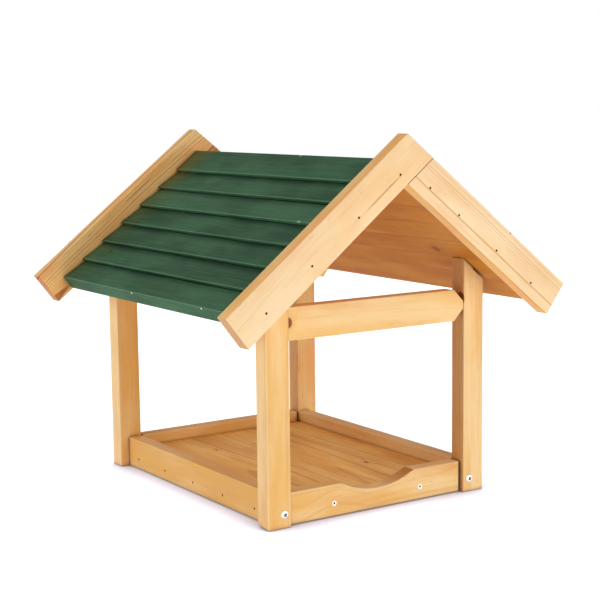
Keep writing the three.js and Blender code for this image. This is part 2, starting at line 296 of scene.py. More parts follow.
def growth_rings(tree, grain, knot, ring_width, bend):
    waves = streaked(tree, grain, BEND, 1).outputs["Color"]
    swing = maths(tree, "SUBTRACT", waves, (0.5, 0.5, 0.5), kind=VECTOR)
    swing = maths(tree, "MULTIPLY", swing, (0, bend, bend), kind=VECTOR)
    place = maths(tree, "ADD", grain, swing, kind=VECTOR)
    place = maths(tree, "MULTIPLY", place, (0, 1, 1), kind=VECTOR)
    radius = maths(tree, "LENGTH", place, kind=VECTOR)
    bow = fade(tree, knot, 0.8, 4.0, 2 * ring_width, 0.0)
    radius = maths(tree, "ADD", radius, bow)
    rings = maths(tree, "DIVIDE", radius, ring_width)
    season = add(tree, NOISE, {"W": rings, "Scale": 0.7, "Detail": 2}, noise_dimensions="1D")
    rings = maths(tree, "MULTIPLY_ADD", season, 1.7, rings)
    year = maths(tree, "FLOOR", rings)
    year = add(tree, "ShaderNodeTexWhiteNoise", {"W": year}, noise_dimensions="1D")
    growth = maths(tree, "FRACT", rings)
    rise = fade(tree, growth, 0.62, 0.94, 0.0, 1.0)
    fall = fade(tree, growth, 0.94, 1.0, 1.0, 0.0)
    late_wood = maths(tree, "MULTIPLY", rise, fall)
    strength = add(tree, RANGE, [year, 0.35, 0.9, 0.05, 1.0])
    return maths(tree, "MULTIPLY", late_wood, strength)


# %% [markdown]
# ## What the plane and the oil show
# A planed face also shows long fibres, short dark flecks where resin canals were cut, and the uneven take-up
# of the oil, in soft clouds drawn out along the board. Each is a noise that is stretched along the grain.

# %% Fibres, flecks and clouds
FIBRE = (60 * MM, 1.6 * MM)  # length and width. Real fibres are finer: drawn as coarse as they need to show
FLECK = (16 * MM, 1.5 * MM)
CLOUD = (110 * MM, 26 * MM)

# %% [markdown]
# ## Dirt and painted shade in the joints
# Every joint, slit and punched hole is darkened in its colour: partly for the dirt that gathers there
# outdoors, and partly as painted shade for the shadow in such narrow places. Blender's Ambient Occlusion
# node tells how closed in a point is within a few millimetres, and that is where the darkening goes. It
# depends on the wood around a point, and not on where the camera stands.

# %% Crevice shade and dirt
CREVICE_SHADE_AND_DIRT_REACH = 7 * MM


def crevice_shade_and_dirt(tree, body, colour, reach, strength):
    # painted shade and dirt: the colour turns dark where the AO node finds a point closed in
    closed = add(tree, "ShaderNodeAmbientOcclusion", {"Distance": reach}, samples=8).outputs["AO"]
    crevice_darkening = fade(tree, closed, 0.1, 0.9, strength, 0.0)
    return blend(tree, crevice_darkening, body, linear(colour))


# %% [markdown]
# ## The colour of pine
# From light to dark: clouds of oil go from the pale colour to the honey one, and in places to a rosier one.
# "tone" makes a whole board darker or lighter, from 1 to -1. Late wood and flecks go over that, as clearly
# as "vivid" says. Sawn faces and end grain ("end") drink more oil and are browner, and "end" also carries
# the painted light and shade that "sides" puts on some faces. Arrises ("arris") are paler: partly rubbed,
# and partly a painted highlight where they catch the light. A knot is as dark as "dark" says, and so is the
# painted shadow on the front right post.

# %% Pine colour
# the knots' colour, which also paints the shadow above the front rail's cut corner
KNOT_AND_PAINTED_SHADOW_COLOUR = "#863806"
CREVICE_SHADE_AND_DIRT_COLOUR = "#5c2c0e"


def pine_colour(tree, colours, grain, knot, line, fibre):
    pale, honey, rosy, late = [linear(colour) for colour in colours]
    tone, vivid, end, arris, dark = read(tree, "Fac", "tone", "vivid", "end", "arris", "dark")
    cloud = streaked(tree, grain, CLOUD, 3)
    depth = fade(tree, cloud, 0.25, 0.75, 0.0, 1.0)
    depth = maths(tree, "MULTIPLY_ADD", tone, 0.5, depth)
    halo = fade(tree, knot, 1.0, 2.6, 0.35, 0.0)
    depth = maths(tree, "ADD", depth, halo)
    # arrises paler: partly rubbed, partly a painted highlight where they catch the light
    depth = maths(tree, "MULTIPLY_ADD", arris, -0.6, depth, use_clamp=True)
    body = blend(tree, depth, pale, honey)
    rose = fade(tree, cloud.outputs["Color"], 0.45, 0.7, 0.0, 0.6)
    body = blend(tree, rose, body, rosy)
    fleck = fade(tree, streaked(tree, grain, FLECK, 2), 0.62, 0.78, 0.0, 0.28)
    streak = fade(tree, fibre, 0.5, 0.78, 0.0, 0.11)
    streak = maths(tree, "MAXIMUM", fleck, streak)
    shade = maths(tree, "MULTIPLY_ADD", line, vivid, streak)
    shade = maths(tree, "MULTIPLY_ADD", end, 0.6, shade, use_clamp=True)
    body = blend(tree, shade, body, late)
    core = fade(tree, knot, 0.7, 1.1, dark, 0.0)
    return blend(tree, core, body, linear(KNOT_AND_PAINTED_SHADOW_COLOUR))


# %% [markdown]
# ## Five finishes of one wood
# The posts, rails and tray boards are knotty pine under a thin honey-coloured oil: warm and satin. The front
# barge boards had less of it and stay paler, with fine straight rings. The back ones and one back post drank
# more of it: they are amber, and their grain stands out. The tray's floor is a softer, browner board, dulled
# by seed and weather. The roof boards' undersides were left as they came from the saw: they have gone orange,
# and hardly shine. Every finish here, wood or metal, ends in the same kind of surface: a roughness that
# follows its finest pattern, a shallow bump, and one shader.

# %% Surface
def surface(tree, body, pattern, smooth, coarse, bump, shader):
    rough = add(tree, RANGE, [pattern, 0.3, 0.7, smooth, coarse])
    normal = add(tree, "ShaderNodeBump", bump)
    inputs = {"Base Color": body, "Roughness": rough, "Normal": normal, **shader}
    skin = add(tree, "ShaderNodeBsdfPrincipled", inputs)
    add(tree, "ShaderNodeOutputMaterial", [skin])


# %% Planed pine
def read_log(tree):
    grain, knot = read(tree, "Vector", "grain", "knot")
    return grain, maths(tree, "LENGTH", knot, kind=VECTOR)


def planed_pine(name, colours, ring_width, bend, gloss, crevice_darkening):
    material, tree = new_material(name)
    grain, knot = read_log(tree)
    line = growth_rings(tree, grain, knot, ring_width, bend)
    fibre = streaked(tree, grain, FIBRE, 3)
    body = pine_colour(tree, colours, grain, knot, line, fibre)
    # painted shade and dirt in the joints, slits and holes
    body = crevice_shade_and_dirt(tree, body, CREVICE_SHADE_AND_DIRT_COLOUR, CREVICE_SHADE_AND_DIRT_REACH, crevice_darkening)
    height = maths(tree, "MULTIPLY_ADD", line, 0.5, fibre)
    bump = {"Height": height, "Distance": 0.25 * MM, "Strength": 0.3}
    surface(tree, body, fibre, 0.52, 0.68, bump, {"IOR": 1.45, "Specular IOR Level": gloss})
    return material


HONEY = ("#f5cf94", "#ecb660", "#e7ad72", "#b56f28")
PALE = ("#fadbac", "#f5c98e", "#f3be8e", "#b56c20")
AMBER = ("#ffd48e", "#ffba68", "#fbaa6a", "#9a430c")
FLOOR_BROWN = ("#fcce78", "#ebae56", "#e0a055", "#8f5118")
BARE = ("#d4933e", "#c67c2a", "#c27434", "#95540f")
honey_pine = planed_pine("planed_pine_honey_oil", HONEY, 4.2 * MM, 16 * MM, 0.35, 0.75)
pale_pine = planed_pine("planed_pine_pale", PALE, 3.4 * MM, 8 * MM, 0.4, 0.6)
amber_pine = planed_pine("planed_pine_amber_oil", AMBER, 4.0 * MM, 30 * MM, 0.3, 0.6)
floor_pine = planed_pine("planed_pine_tray_floor", FLOOR_BROWN, 5.0 * MM, 24 * MM, 0.25, 0.75)
bare_pine = planed_pine("planed_pine_bare", BARE, 4.6 * MM, 24 * MM, 0.12, 0.25)
print("pine finishes:", [m.name for m in (honey_pine, pale_pine, amber_pine, floor_pine, bare_pine)])

# %% [markdown]
# ## Green stain on the roof
# The roof boards are brushed with a dark green wood stain. It isn't paint: fibres still show through it as
# fine streaks along the board. It lies darker and ragged under the board above: partly stain that gathered
# there, and partly painted shade for the shadow of the lip. The top arrises are lighter: partly stain that a
# brush drags thin, and partly a painted highlight where they catch the light. It hardly covers the last few
# centimetres beside the back barge board, near the ridge most of all, and the brown of the wood comes through
# there. "lap" tells the nodes how far a point is down its board, from 0 under the board above to 1 at its own
# butt, and "knot" here marks a small chip.

# %% Green stain
BRUSHED = (70 * MM, 2.5 * MM)  # a brush stroke's length and width, coarser than in life so that it shows
PATCH = (90 * MM, 45 * MM)
THIN_FROM = 150 * MM  # along Y, where the stain starts to run out
THIN_TO = 226 * MM
THIN_LOW = 300 * MM  # in height: below this the brush came back and covered most of it
THIN_HIGH = 385 * MM
STAIN_DARK = "#163420"
STAIN_LIGHT = "#4a7353"
STAIN_THIN = "#6b6230"
STAIN_CHIP = "#a9bd9c"
# the edge colour is partly stain worn thin and partly a painted highlight on the arrises
STAIN_WORN_EDGE_AND_HIGHLIGHT = "#6f9a78"
# painted shade: a near-black line in the step under each lip, where the butt is in shadow
STAIN_CREVICE_SHADE = "#04150a"
STAIN_CREVICE_SHADE_REACH = 3.5 * MM


def stain_colour(tree, grain, streak):
    lap, tone, arris = read(tree, "Fac", "lap", "tone", "arris")
    patch = streaked(tree, grain, PATCH, 3)
    shade = fade(tree, patch, 0.3, 0.7, 0.35, 0.75)
    shade = maths(tree, "MULTIPLY_ADD", tone, 0.25, shade)
    brush = fade(tree, streak, 0.3, 0.75, -0.15, 0.25)
    shade = maths(tree, "ADD", shade, brush)
    # painted shade with gathered stain: darker just under the board above
    ragged = maths(tree, "MULTIPLY_ADD", streak, -0.5, lap)
    gathered_stain_and_shade = fade(tree, ragged, -0.2, 0.06, 0.4, 0.0)
    shade = maths(tree, "SUBTRACT", shade, gathered_stain_and_shade, use_clamp=True)
    body = blend(tree, shade, linear(STAIN_DARK), linear(STAIN_LIGHT))
    # painted highlight with brush wear: the top arrises are made lighter
    worn_edge_and_highlight = maths(tree, "MULTIPLY", arris, 0.55)
    return blend(tree, worn_edge_and_highlight, body, linear(STAIN_WORN_EDGE_AND_HIGHLIGHT))


# %% Stained boards
def green_stain_material(name):
    material, tree = new_material(name)
    grain, knot = read_log(tree)
    streak = streaked(tree, grain, BRUSHED, 3)
    body = stain_colour(tree, grain, streak)
    place = add(tree, "ShaderNodeTexCoord").outputs["Object"]
    place = add(tree, "ShaderNodeSeparateXYZ", [place])
    worn = fade(tree, streak, 0.35, 0.65, 0.45, 1.0)
    high = add(tree, RANGE, [place.outputs["Z"], THIN_LOW, THIN_HIGH, 0.2, 1.0])
    thin = fade(tree, place.outputs["Y"], THIN_FROM, THIN_TO, 0.0, 1.0)
    thin = maths(tree, "MULTIPLY", thin, high)
    thin = maths(tree, "MULTIPLY", thin, worn)
    body = blend(tree, thin, body, linear(STAIN_THIN))
    chip = fade(tree, knot, 0.6, 1.2, 0.85, 0.0)
    body = blend(tree, chip, body, linear(STAIN_CHIP))
    # painted shade in the step under each lip and in the other narrow places
    body = crevice_shade_and_dirt(tree, body, STAIN_CREVICE_SHADE, STAIN_CREVICE_SHADE_REACH, 0.95)
    bump = {"Height": streak, "Distance": 0.3 * MM, "Strength": 0.5}
    surface(tree, body, streak, 0.5, 0.65, bump, {"IOR": 1.45, "Specular IOR Level": 0.07})
    return material


green_stain = green_stain_material("brushed_green_wood_stain")
print("roof finish:", green_stain.name)

# %% [markdown]
# ## Metals
# The screws are zinc plated: a bright, slightly grainy metal with a cool cast. The driver's recess gets a
# dark, dull finish that is painted shade, for the shadow that fills so narrow a hollow. The nails are plain
# steel wire that has gone brown and dull. They keep their CAD shapes, punched below the surface, and only get
# a finish.

# %% Metals
METAL_GRAIN = 0.6 * MM


def metal(name, bright, dull, rough_low, rough_high):
    material, tree = new_material(name)
    place = add(tree, "ShaderNodeTexCoord").outputs["Object"]
    spot = add(tree, NOISE, {"Vector": place, "Scale": 1 / METAL_GRAIN, "Detail": 3})
    body = blend(tree, spot, linear(bright), linear(dull))
    bump = {"Height": spot, "Distance": 0.05 * MM, "Strength": 0.3}
    surface(tree, body, spot, rough_low, rough_high, bump, {"Metallic": 1.0})
    return material


zinc = metal("zinc_plated_steel", "#fbfcf9", "#e2e5e1", 0.2, 0.4)
# painted shade: the recess finish is dark to stand for the shadow inside it
recess_shade_steel = metal("painted_shade_recess_steel", "#6a766c", "#3f4741", 0.6, 0.85)
nail_steel = metal("dull_steel_wire", "#42301f", "#20160e", 0.55, 0.8)
for name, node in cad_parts.items():
    if "nail" in name:
        node.data.materials.clear()
        node.data.materials.append(nail_steel)
print("nails finished:", sum("nail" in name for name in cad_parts))

# %% [markdown]
# ## How a board is made
# Every timber here is made the way a joiner does it. Its outline, seen from the front, is drawn as a face of
# a few corners and extruded to the depth of its CAD node. Its arrises, the sharp edges, are eased with a
# bevel, except where a tight joint needs them sharp. Then it is cut across at intervals and its skin is let
# in by a fraction of a millimetre, unevenly, because no planed board is quite true. The skin only ever moves
# inwards, so a board never grows past its CAD size. The eased faces are marked in an attribute, "arris", for
# the finish to find.

# %% Sawing and easing
ARRIS_TURN = math.radians(30)  # an edge that turns by more than this is an arris


def only(kind, items):
    return [item for item in items if isinstance(item, kind)]


def sawn(node, corners):
    low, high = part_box(node)
    bm = bmesh.new()
    end = bm.faces.new([bm.verts.new((x, low.y, z)) for x, z in corners])
    grown = bmesh.ops.extrude_face_region(bm, geom=[end])
    moved = only(bmesh.types.BMVert, grown["geom"])
    bmesh.ops.translate(bm, verts=moved, vec=Y_AXIS * (high.y - low.y))
    bmesh.ops.recalc_face_normals(bm, faces=bm.faces)
    return bm


def ease(bm, width, left_sharp=None):
    arris = bm.faces.layers.float.new("arris")
    edges = [edge for edge in bm.edges if edge.calc_face_angle(0) > ARRIS_TURN]
    if left_sharp:
        edges = [edge for edge in edges if not all(left_sharp(vert.co) for vert in edge.verts)]
    eased = bmesh.ops.bevel(
        bm, geom=edges, offset=width, affect="EDGES", segments=3, profile=0.5, material=-1, clamp_overlap=True
    )
    for face in eased["faces"]:
        face[arris] = 1.0


# %% Letting in the skin
CUT_SPACING = 18 * MM
LET_IN = 0.22 * MM
HOLLOW_SPACING = 30 * MM


def split(bm, place, across, **settings):
    everything = bm.verts[:] + bm.edges[:] + bm.faces[:]
    cut = bmesh.ops.bisect_plane(bm, geom=everything, plane_co=place, plane_no=across, **settings)
    return cut["geom_cut"]


def let_in(bm, along):
    reach = [vert.co.dot(along) for vert in bm.verts]
    start = min(reach)
    length = max(reach) - start
    cuts = max(2, round(length / CUT_SPACING))
    for cut in range(1, cuts):
        split(bm, along * (start + length * cut / cuts), along)
    bm.normal_update()
    places = {vert: vert.co / HOLLOW_SPACING for vert in bm.verts}
    for vert, place in places.items():
        vert.co -= vert.normal * LET_IN * (0.5 + 0.5 * noise.noise(place))


# %% [markdown]
# ## Cutting and drilling
# Nails are punched in and small screws are countersunk, so the boards need holes for their heads. A hole is a
# short cone: wide at its mouth, and as wide or narrower at its bottom. All the cones of a board are joined
# into one cutter and taken away with a Boolean, whose result is kept as a plain mesh. The same cut makes the
# recesses in the screws, where the cutter's own finish stays on the faces that it leaves.

# %% Cutting
def cut_away(piece, bm, finish=None):
    cutter = as_object(bm, "cutter", finish)
    modifier = piece.modifiers.new("cut", "BOOLEAN")
    modifier.operation = "DIFFERENCE"
    modifier.solver = "EXACT"
    modifier.material_mode = "TRANSFER" if finish else "INDEX"
    modifier.object = cutter
    bpy.context.view_layer.update()
    shaped = piece.evaluated_get(bpy.context.evaluated_depsgraph_get())
    piece_mesh = bpy.data.meshes.new_from_object(shaped)
    piece.modifiers.clear()
    piece.data = piece_mesh
    bpy.data.objects.remove(cutter)


# %% Drilling
HOLE_SIDES = 16
HOLE_OVERRUN = 0.6 * MM  # how far a cutter stands out of the hole's mouth


def add_cone(bm, stand, wide, narrow, depth, sides):
    bmesh.ops.create_cone(
        bm, cap_ends=True, segments=sides, radius1=wide, radius2=narrow, depth=depth, matrix=stand
    )


def pointing(middle, inwards):
    return Matrix.Translation(middle) @ Z_AXIS.rotation_difference(inwards).to_matrix().to_4x4()


def drill(piece, holes):
    if not holes:
        return
    bm = bmesh.new()
    for mouth, inwards, wide, narrow, depth in holes:
        middle = mouth + inwards * (depth - HOLE_OVERRUN) / 2
        add_cone(bm, pointing(middle, inwards), wide, narrow, depth + HOLE_OVERRUN, HOLE_SIDES)
    cut_away(piece, bm)


# %% [markdown]
# ## Where a board sat in its log
# This cell writes the attributes that the pine nodes read. The distance of the board from the pith decides
# its pattern: close to it, the face shows arches, and far to one side, straight lines. Each board draws its
# place from a generator seeded with its own name, so the pattern is different on each and the same each run.
# "sides" makes the faces that look along X, Y or Z browner, as a saw leaves them, or paler where negative. On
# the posts, the rails and the tray's side boards it is partly painted light and shade: some faces are made
# darker or paler for the light that falls on them, and the tops under the roof are made paler.

# %% Figure
FAR_FROM_KNOTS = (9, 9, 9)


def store(mesh, name, kind, domain, values):
    attribute = mesh.attributes.new(name, kind, domain)
    if kind == "FLOAT_VECTOR":
        attribute.data.foreach_set("vector", [number for value in values for number in value])
    else:
        attribute.data.foreach_set("value", values)


def figure(piece, name, along, across, pith=None, tone=0.0, vivid=0.18, knot=None, sides=(0, 0, 0)):
    through = along.cross(across)
    axes = (along, across, through)
    mesh = piece.data
    chance = random.Random(name)
    points = [vert.co.copy() for vert in mesh.vertices]
    middle = sum(points, Vector()) / len(points)
    if pith is None:
        pith = (chance.uniform(-20, 20) * MM, chance.choice((-1, 1)) * chance.uniform(25, 60) * MM)
    log = Vector((chance.uniform(0, 5), -pith[0], -pith[1]))
    normals = [face.normal for face in mesh.polygons]
    # browner sawn faces, and painted light and shade on some faces
    face_tints = [sum(abs(part) * side for part, side in zip(normal, sides)) for normal in normals]
    ends = [max(abs(normal.dot(along)), more) for normal, more in zip(normals, face_tints)]
    tones = [tone + 2 * min(0, more) for more in face_tints]
    grain = [Vector([(point - middle).dot(axis) for axis in axes]) + log for point in points]
    near = [FAR_FROM_KNOTS] * len(points)
    if knot:
        steps = [point - knot["middle"] for point in points]
        near = [[step.dot(axis) / size for axis, size in zip(axes, knot["radii"])] for step in steps]
    store(mesh, "grain", "FLOAT_VECTOR", "POINT", grain)
    store(mesh, "knot", "FLOAT_VECTOR", "POINT", near)
    store(mesh, "tone", "FLOAT", "FACE", tones)
    store(mesh, "vivid", "FLOAT", "POINT", [vivid] * len(points))
    store(mesh, "dark", "FLOAT", "POINT", [knot.get("dark", 0.85) if knot else 0.0] * len(points))
    store(mesh, "end", "FLOAT", "FACE", ends)


# %% [markdown]
# ## A finished timber
# One function takes a timber from its corners to the finished piece. "along" is the way its grain runs, and
# "across" is square to that on its face. The piece rides on the table's one body, takes its finish and stands
# for its CAD node, which is then hidden.

# %% Timber
WOOD_TURN = math.radians(20)  # faces that turn by less than this are shaded as one


def timber(node, corners, along, across, finish, slot, arris, holes=(), trim=None, left_sharp=None, **log):
    bm = sawn(node, corners)
    if trim:
        trim(bm)
    ease(bm, arris, left_sharp)
    let_in(bm, along)
    piece = as_object(bm, node + "_timber", finish)
    drill(piece, holes)
    figure(piece, node, along, across, **log)
    piece.data.shade_smooth()
    piece.data.set_sharp_from_angle(angle=WOOD_TURN)
    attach(piece, "root")
    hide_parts(node)
    return piece


# %% [markdown]
# ## The slope
# Both slopes of the roof share one layout. A point on one is given by its length down the slope from the apex
# and its drop, square to the slope, below the top edges of the barge boards. These functions go from that
# layout to the world and back, and the boards' sizes are read from the CAD nodes through them.

# %% Slope layout
PITCH = math.radians(38)
APEX = Z_AXIS * cad_box[1][2]
HANDS = {"left": -1, "right": 1}
ENDS = {"front": -1, "back": 1}
TOUCH = 0.05 * MM


def down_slope(hand):
    return Vector((hand * math.cos(PITCH), 0, -math.sin(PITCH)))


def into_slope(hand):
    return Vector((-hand * math.sin(PITCH), 0, -math.cos(PITCH)))


def on_slope(hand, length, drop, y=0.0):
    return APEX + down_slope(hand) * length + into_slope(hand) * drop + Y_AXIS * y


def slope_corners(hand, profile):
    return [on_slope(hand, length, drop).xz for length, drop in profile]


def slope_points(node, hand):
    steps = [vert.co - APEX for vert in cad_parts[node].data.vertices]
    return [(step.dot(down_slope(hand)), step.dot(into_slope(hand))) for step in steps]


def slope_box(node, hand):
    lengths, drops = zip(*slope_points(node, hand))
    return min(lengths), max(lengths), min(drops), max(drops)


def lengths_at(node, hand, drop):
    lengths = [length for length, depth in slope_points(node, hand) if abs(depth - drop) < TOUCH]
    return min(lengths), max(lengths)


print("slope: pitch", round(math.degrees(PITCH)), "degrees, apex", round(APEX.z / MM), "mm up")

# %% [markdown]
# ## Posts
# Four square-sawn posts carry everything. Their tops are cut to the slope of the roof. On the front right one
# the saw ran low over the outer half, which leaves a dark slit under the roof. On its inner face, just above
# the rail's cut corner, a dark patch of painted shadow stands for the shade in that corner. The foot of the
# front left one has lost its back corner. Their corners come from the CAD: "face_at" says where a node's box
# ends along X or Y, on its low side (-1) or its high side (1).

# %% Post corners
SAW_RUN = {"front_right_post": (14 * MM, 2.2 * MM)}  # where it starts from the inner face, and how low it ran


def face_at(node, axis, side):
    low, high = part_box(node)
    return getattr(high if side > 0 else low, axis)


def post_corners(node, hand):
    low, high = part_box(node)
    inner = face_at(node, "x", -hand)
    outer = face_at(node, "x", hand)
    fall = math.tan(PITCH)
    start, drop = SAW_RUN.get(node, (0, 0))
    corners = [(inner, low.z), (outer, low.z), (outer, high.z - abs(outer - inner) * fall - drop)]
    if drop:
        corners.append((inner + hand * (start + MM), high.z - (start + MM) * fall - drop))
        corners.append((inner + hand * start, high.z - start * fall))
    return corners + [(inner, high.z)]


# %% Worn foot
WORN_HEIGHT = 5 * MM
WORN_SLOPE = Vector((-0.5, 1, -4)).normalized()


def wear_foot(bm):
    low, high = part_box("front_left_post")
    corner = Vector((low.x, high.y, WORN_HEIGHT))
    rim = only(bmesh.types.BMEdge, split(bm, corner, WORN_SLOPE, clear_outer=True))
    bmesh.ops.edgeloop_fill(bm, edges=rim)
    bmesh.ops.recalc_face_normals(bm, faces=bm.faces)


# %% Posts
POST_ARRIS = 1.3 * MM
# painted shadow: a dark patch on the post's inner face, above the rail's cut corner
PAINTED_SHADOW_ABOVE_RAIL = {"middle": Vector((122, -182, 233)) * MM, "radii": (8 * MM, 2 * MM, 9 * MM), "dark": 0.95}
# "sides" here is partly painted light and shade: a post's X faces are made paler or darker for their light
POSTS = {
    "front_left_post": {"tone": 0.15, "sides": (-0.4, 0, 0), "trim": wear_foot},
    "front_right_post": {"tone": -0.6, "sides": (0.9, 0, 0), "knot": PAINTED_SHADOW_ABOVE_RAIL},
    "back_left_post": {"tone": 0.9, "sides": (-0.9, 0, 0)},
    "back_right_post": {"tone": -0.8, "sides": (0.7, 0, 0)},
}

for node, own in POSTS.items():
    corners = post_corners(node, HANDS[node.split("_")[1]])
    finish = amber_pine if node == "back_right_post" else honey_pine
    timber(node, corners, Z_AXIS, X_AXIS, finish, "pine", POST_ARRIS, **own)
print("posts:", len(POSTS))

# %% [markdown]
# ## Rails
# A rail joins the two posts of each gable. It was cut from a longer batten whose corners had been taken off
# at one end, and nobody minded: the cut corners sit against the right-hand post, as the front one shows. The
# dark red-brown spot against the left post is the edge of a knot.

# %% Rails
RAIL_ARRIS = 1.2 * MM
CORNER_CUT = 13 * MM
RAIL_END = 116 * MM  # beyond this the arrises are left sharp, so that the joint with the post is tight
RAIL_KNOT = (5.2 * MM, 6.5 * MM, 9 * MM)
RAIL_KNOT_HEIGHT = 20 * MM


def rail_corners(node, cut_side):
    low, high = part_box(node)
    cut = face_at(node, "x", cut_side)
    plain = face_at(node, "x", -cut_side)
    step = cut - cut_side * CORNER_CUT
    return [
        (plain, low.z),
        (step, low.z),
        (cut, low.z + CORNER_CUT),
        (cut, high.z - CORNER_CUT),
        (step, high.z),
        (plain, high.z),
    ]


for end_name, facing in ENDS.items():
    node = end_name + "_rail"
    low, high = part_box(node)
    middle = Vector((facing * high.x, face_at(node, "y", facing), low.z + RAIL_KNOT_HEIGHT))
    own = {
        "left_sharp": lambda place: abs(place.x) > RAIL_END,
        "knot": {"middle": middle, "radii": RAIL_KNOT, "dark": 0.95},
        "tone": -0.6,
        "vivid": 0.1,
        # painted light: the rail's top face is made paler, as if lit under the roof
        "sides": (0, 0, -0.8),
    }
    corners = rail_corners(node, -facing)
    timber(node, corners, X_AXIS, Z_AXIS, honey_pine, "pine", RAIL_ARRIS, **own)
print("rails:", len(ENDS))

# %% [markdown]
# ## The tray's sides
# The two side boards butt between the front and back posts. Five nails go through each into the edge of the
# floor, punched in so that only small dark holes show. The CAD leaves these nails out, so their heads are
# made here, one short turned stub each, and they lie at the bottom of their holes.

# %% Nail heads
NAIL_HEAD_DEPTH = 1.0 * MM
NAIL_HEAD_SIDES = 12
RIM_TURN = math.radians(60)


def nail_heads(name, mouths, inwards, radius, sunk, finish):
    bm = bmesh.new()
    for mouth in mouths:
        middle = mouth + inwards * (sunk + NAIL_HEAD_DEPTH / 2)
        add_cone(bm, pointing(middle, inwards), radius, radius, NAIL_HEAD_DEPTH, NAIL_HEAD_SIDES)
    rims = [edge for edge in bm.edges if edge.calc_face_angle(0) > RIM_TURN]
    bmesh.ops.bevel(
        bm, geom=rims, offset=radius / 5, affect="EDGES", segments=2, profile=0.5, material=-1
    )
    piece = as_object(bm, name, finish)
    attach(piece, "root")


# %% Tray side boards
TRAY_ARRIS = 1.2 * MM
NAIL_HOLE_RADIUS = 1.4 * MM
SIDE_HOLE = (NAIL_HOLE_RADIUS, NAIL_HOLE_RADIUS, 2.2 * MM)  # radius at the mouth and at the bottom, depth
NAIL_HEAD_RADIUS = 1.2 * MM
NAIL_SET = 0.9 * MM
SIDE_NAIL_HEIGHT = 13 * MM
SIDE_NAIL_SHARES = (-0.84, -0.42, 0, 0.42, 0.84)  # of half the board's length
# the -0.4 on Z is painted light: the boards' tops are made paler, as if lit under the roof
SIDE_LOOKS = {
    "left": {"tone": 1.0, "vivid": 0.12, "sides": (0.2, 0, -0.4)},
    "right": {"tone": 0.3, "vivid": 0.12, "sides": (0.3, 0, -0.4)},
}


def box_corners(node):
    low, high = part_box(node)
    return [(low.x, low.z), (high.x, low.z), (high.x, high.z), (low.x, high.z)]


for side, hand in HANDS.items():
    node = f"tray_{side}_board"
    face_x = face_at(node, "x", hand)
    half = face_at(node, "y", 1)
    mouths = [Vector((face_x, half * share, SIDE_NAIL_HEIGHT)) for share in SIDE_NAIL_SHARES]
    inwards = X_AXIS * -hand
    holes = [(mouth, inwards, *SIDE_HOLE) for mouth in mouths]
    corners = box_corners(node)
    timber(node, corners, Y_AXIS, Z_AXIS, honey_pine, "pine", TRAY_ARRIS, holes, **SIDE_LOOKS[side])
    nail_heads(f"tray_{side}_nail_heads", mouths, inwards, NAIL_HEAD_RADIUS, NAIL_SET, nail_steel)
print("tray sides:", len(HANDS), "with", len(SIDE_NAIL_SHARES), "nails each")

# %% [markdown]
# ## The tray's ends and the scallop
# The front board dips in the middle so that old seed can be swept out. The dip is drawn with three arcs, each
# spun from the last point of the one before: a round shoulder, the long hollow, and the other shoulder. The
# back board is plain. Both are screwed to the floor with two small countersunk screws. The rings of the front
# board sweep round a knot that the saw just missed, below the left screw. Where the saw climbed out of the
# hollow, on the right, it ran against the grain, and left it rough and brown.

# %% Scallop
SCALLOP_WIDTH = 100 * MM
SCALLOP_DEPTH = 13 * MM
SHOULDER_RADIUS = 12 * MM
SHOULDER_STEPS = 4
HOLLOW_STEPS = 16


def spun(bm, vert, centre, angle, steps):
    drawn = bmesh.ops.spin(bm, geom=[vert], cent=centre, axis=-Y_AXIS, angle=angle, steps=steps)
    return only(bmesh.types.BMVert, drawn["geom_last"])[0]


def scalloped_corners(node):
    low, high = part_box(node)
    radius = (SCALLOP_WIDTH**2 / 4 + SCALLOP_DEPTH**2) / (2 * SCALLOP_DEPTH)
    reach = radius + SHOULDER_RADIUS
    shoulder = math.sqrt(reach**2 - (reach - SCALLOP_DEPTH) ** 2)
    sweep = math.asin(shoulder / reach)
    shoulder_height = high.z - SHOULDER_RADIUS
    hollow_height = high.z - SCALLOP_DEPTH + radius
    bm = bmesh.new()
    corner = bm.verts.new((high.x, low.y, high.z))
    start = bm.verts.new((shoulder, low.y, high.z))
    bm.edges.new((corner, start))
    first = spun(bm, start, (shoulder, low.y, shoulder_height), sweep, SHOULDER_STEPS)
    second = spun(bm, first, (0, low.y, hollow_height), -2 * sweep, HOLLOW_STEPS)
    spun(bm, second, (-shoulder, low.y, shoulder_height), sweep, SHOULDER_STEPS)
    corners = [(vert.co.x, vert.co.z) for vert in sorted(bm.verts, key=lambda vert: -vert.co.x)]
    bm.free()
    return corners + [(low.x, high.z), (low.x, low.z), (high.x, low.z)]


# %% Tray end boards
SCREW_HOLE = (3.3 * MM, 1.7 * MM, 1.9 * MM)
END_ARRIS = 1.8 * MM
SWIRL = {"middle": Vector((-58, -183, -6)) * MM, "radii": (14 * MM, 11 * MM, 20 * MM), "dark": 0}
END_LOOKS = {
    "front": {"pith": (8 * MM, -26 * MM), "vivid": 0.25, "sides": (1.0, 0, 0), "knot": SWIRL},
    "back": {"pith": (8 * MM, 26 * MM), "tone": 0.5, "vivid": 0.25, "sides": (1.0, 0, 0)},
}
TORN_AT = 34 * MM
THAT_WAY = 0.5  # a face looks some way when its normal has more than this along it
CLIMBS = 0.12  # the torn faces lean to the left by more than this


def holes_over(fasteners, board, facing, hole):
    holes = []
    for fastener in fasteners:
        low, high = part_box(fastener)
        middle = (low + high) / 2
        mouth = Vector((middle.x, face_at(board, "y", facing), middle.z))
        holes.append((mouth, Y_AXIS * -facing, *hole))
    return holes


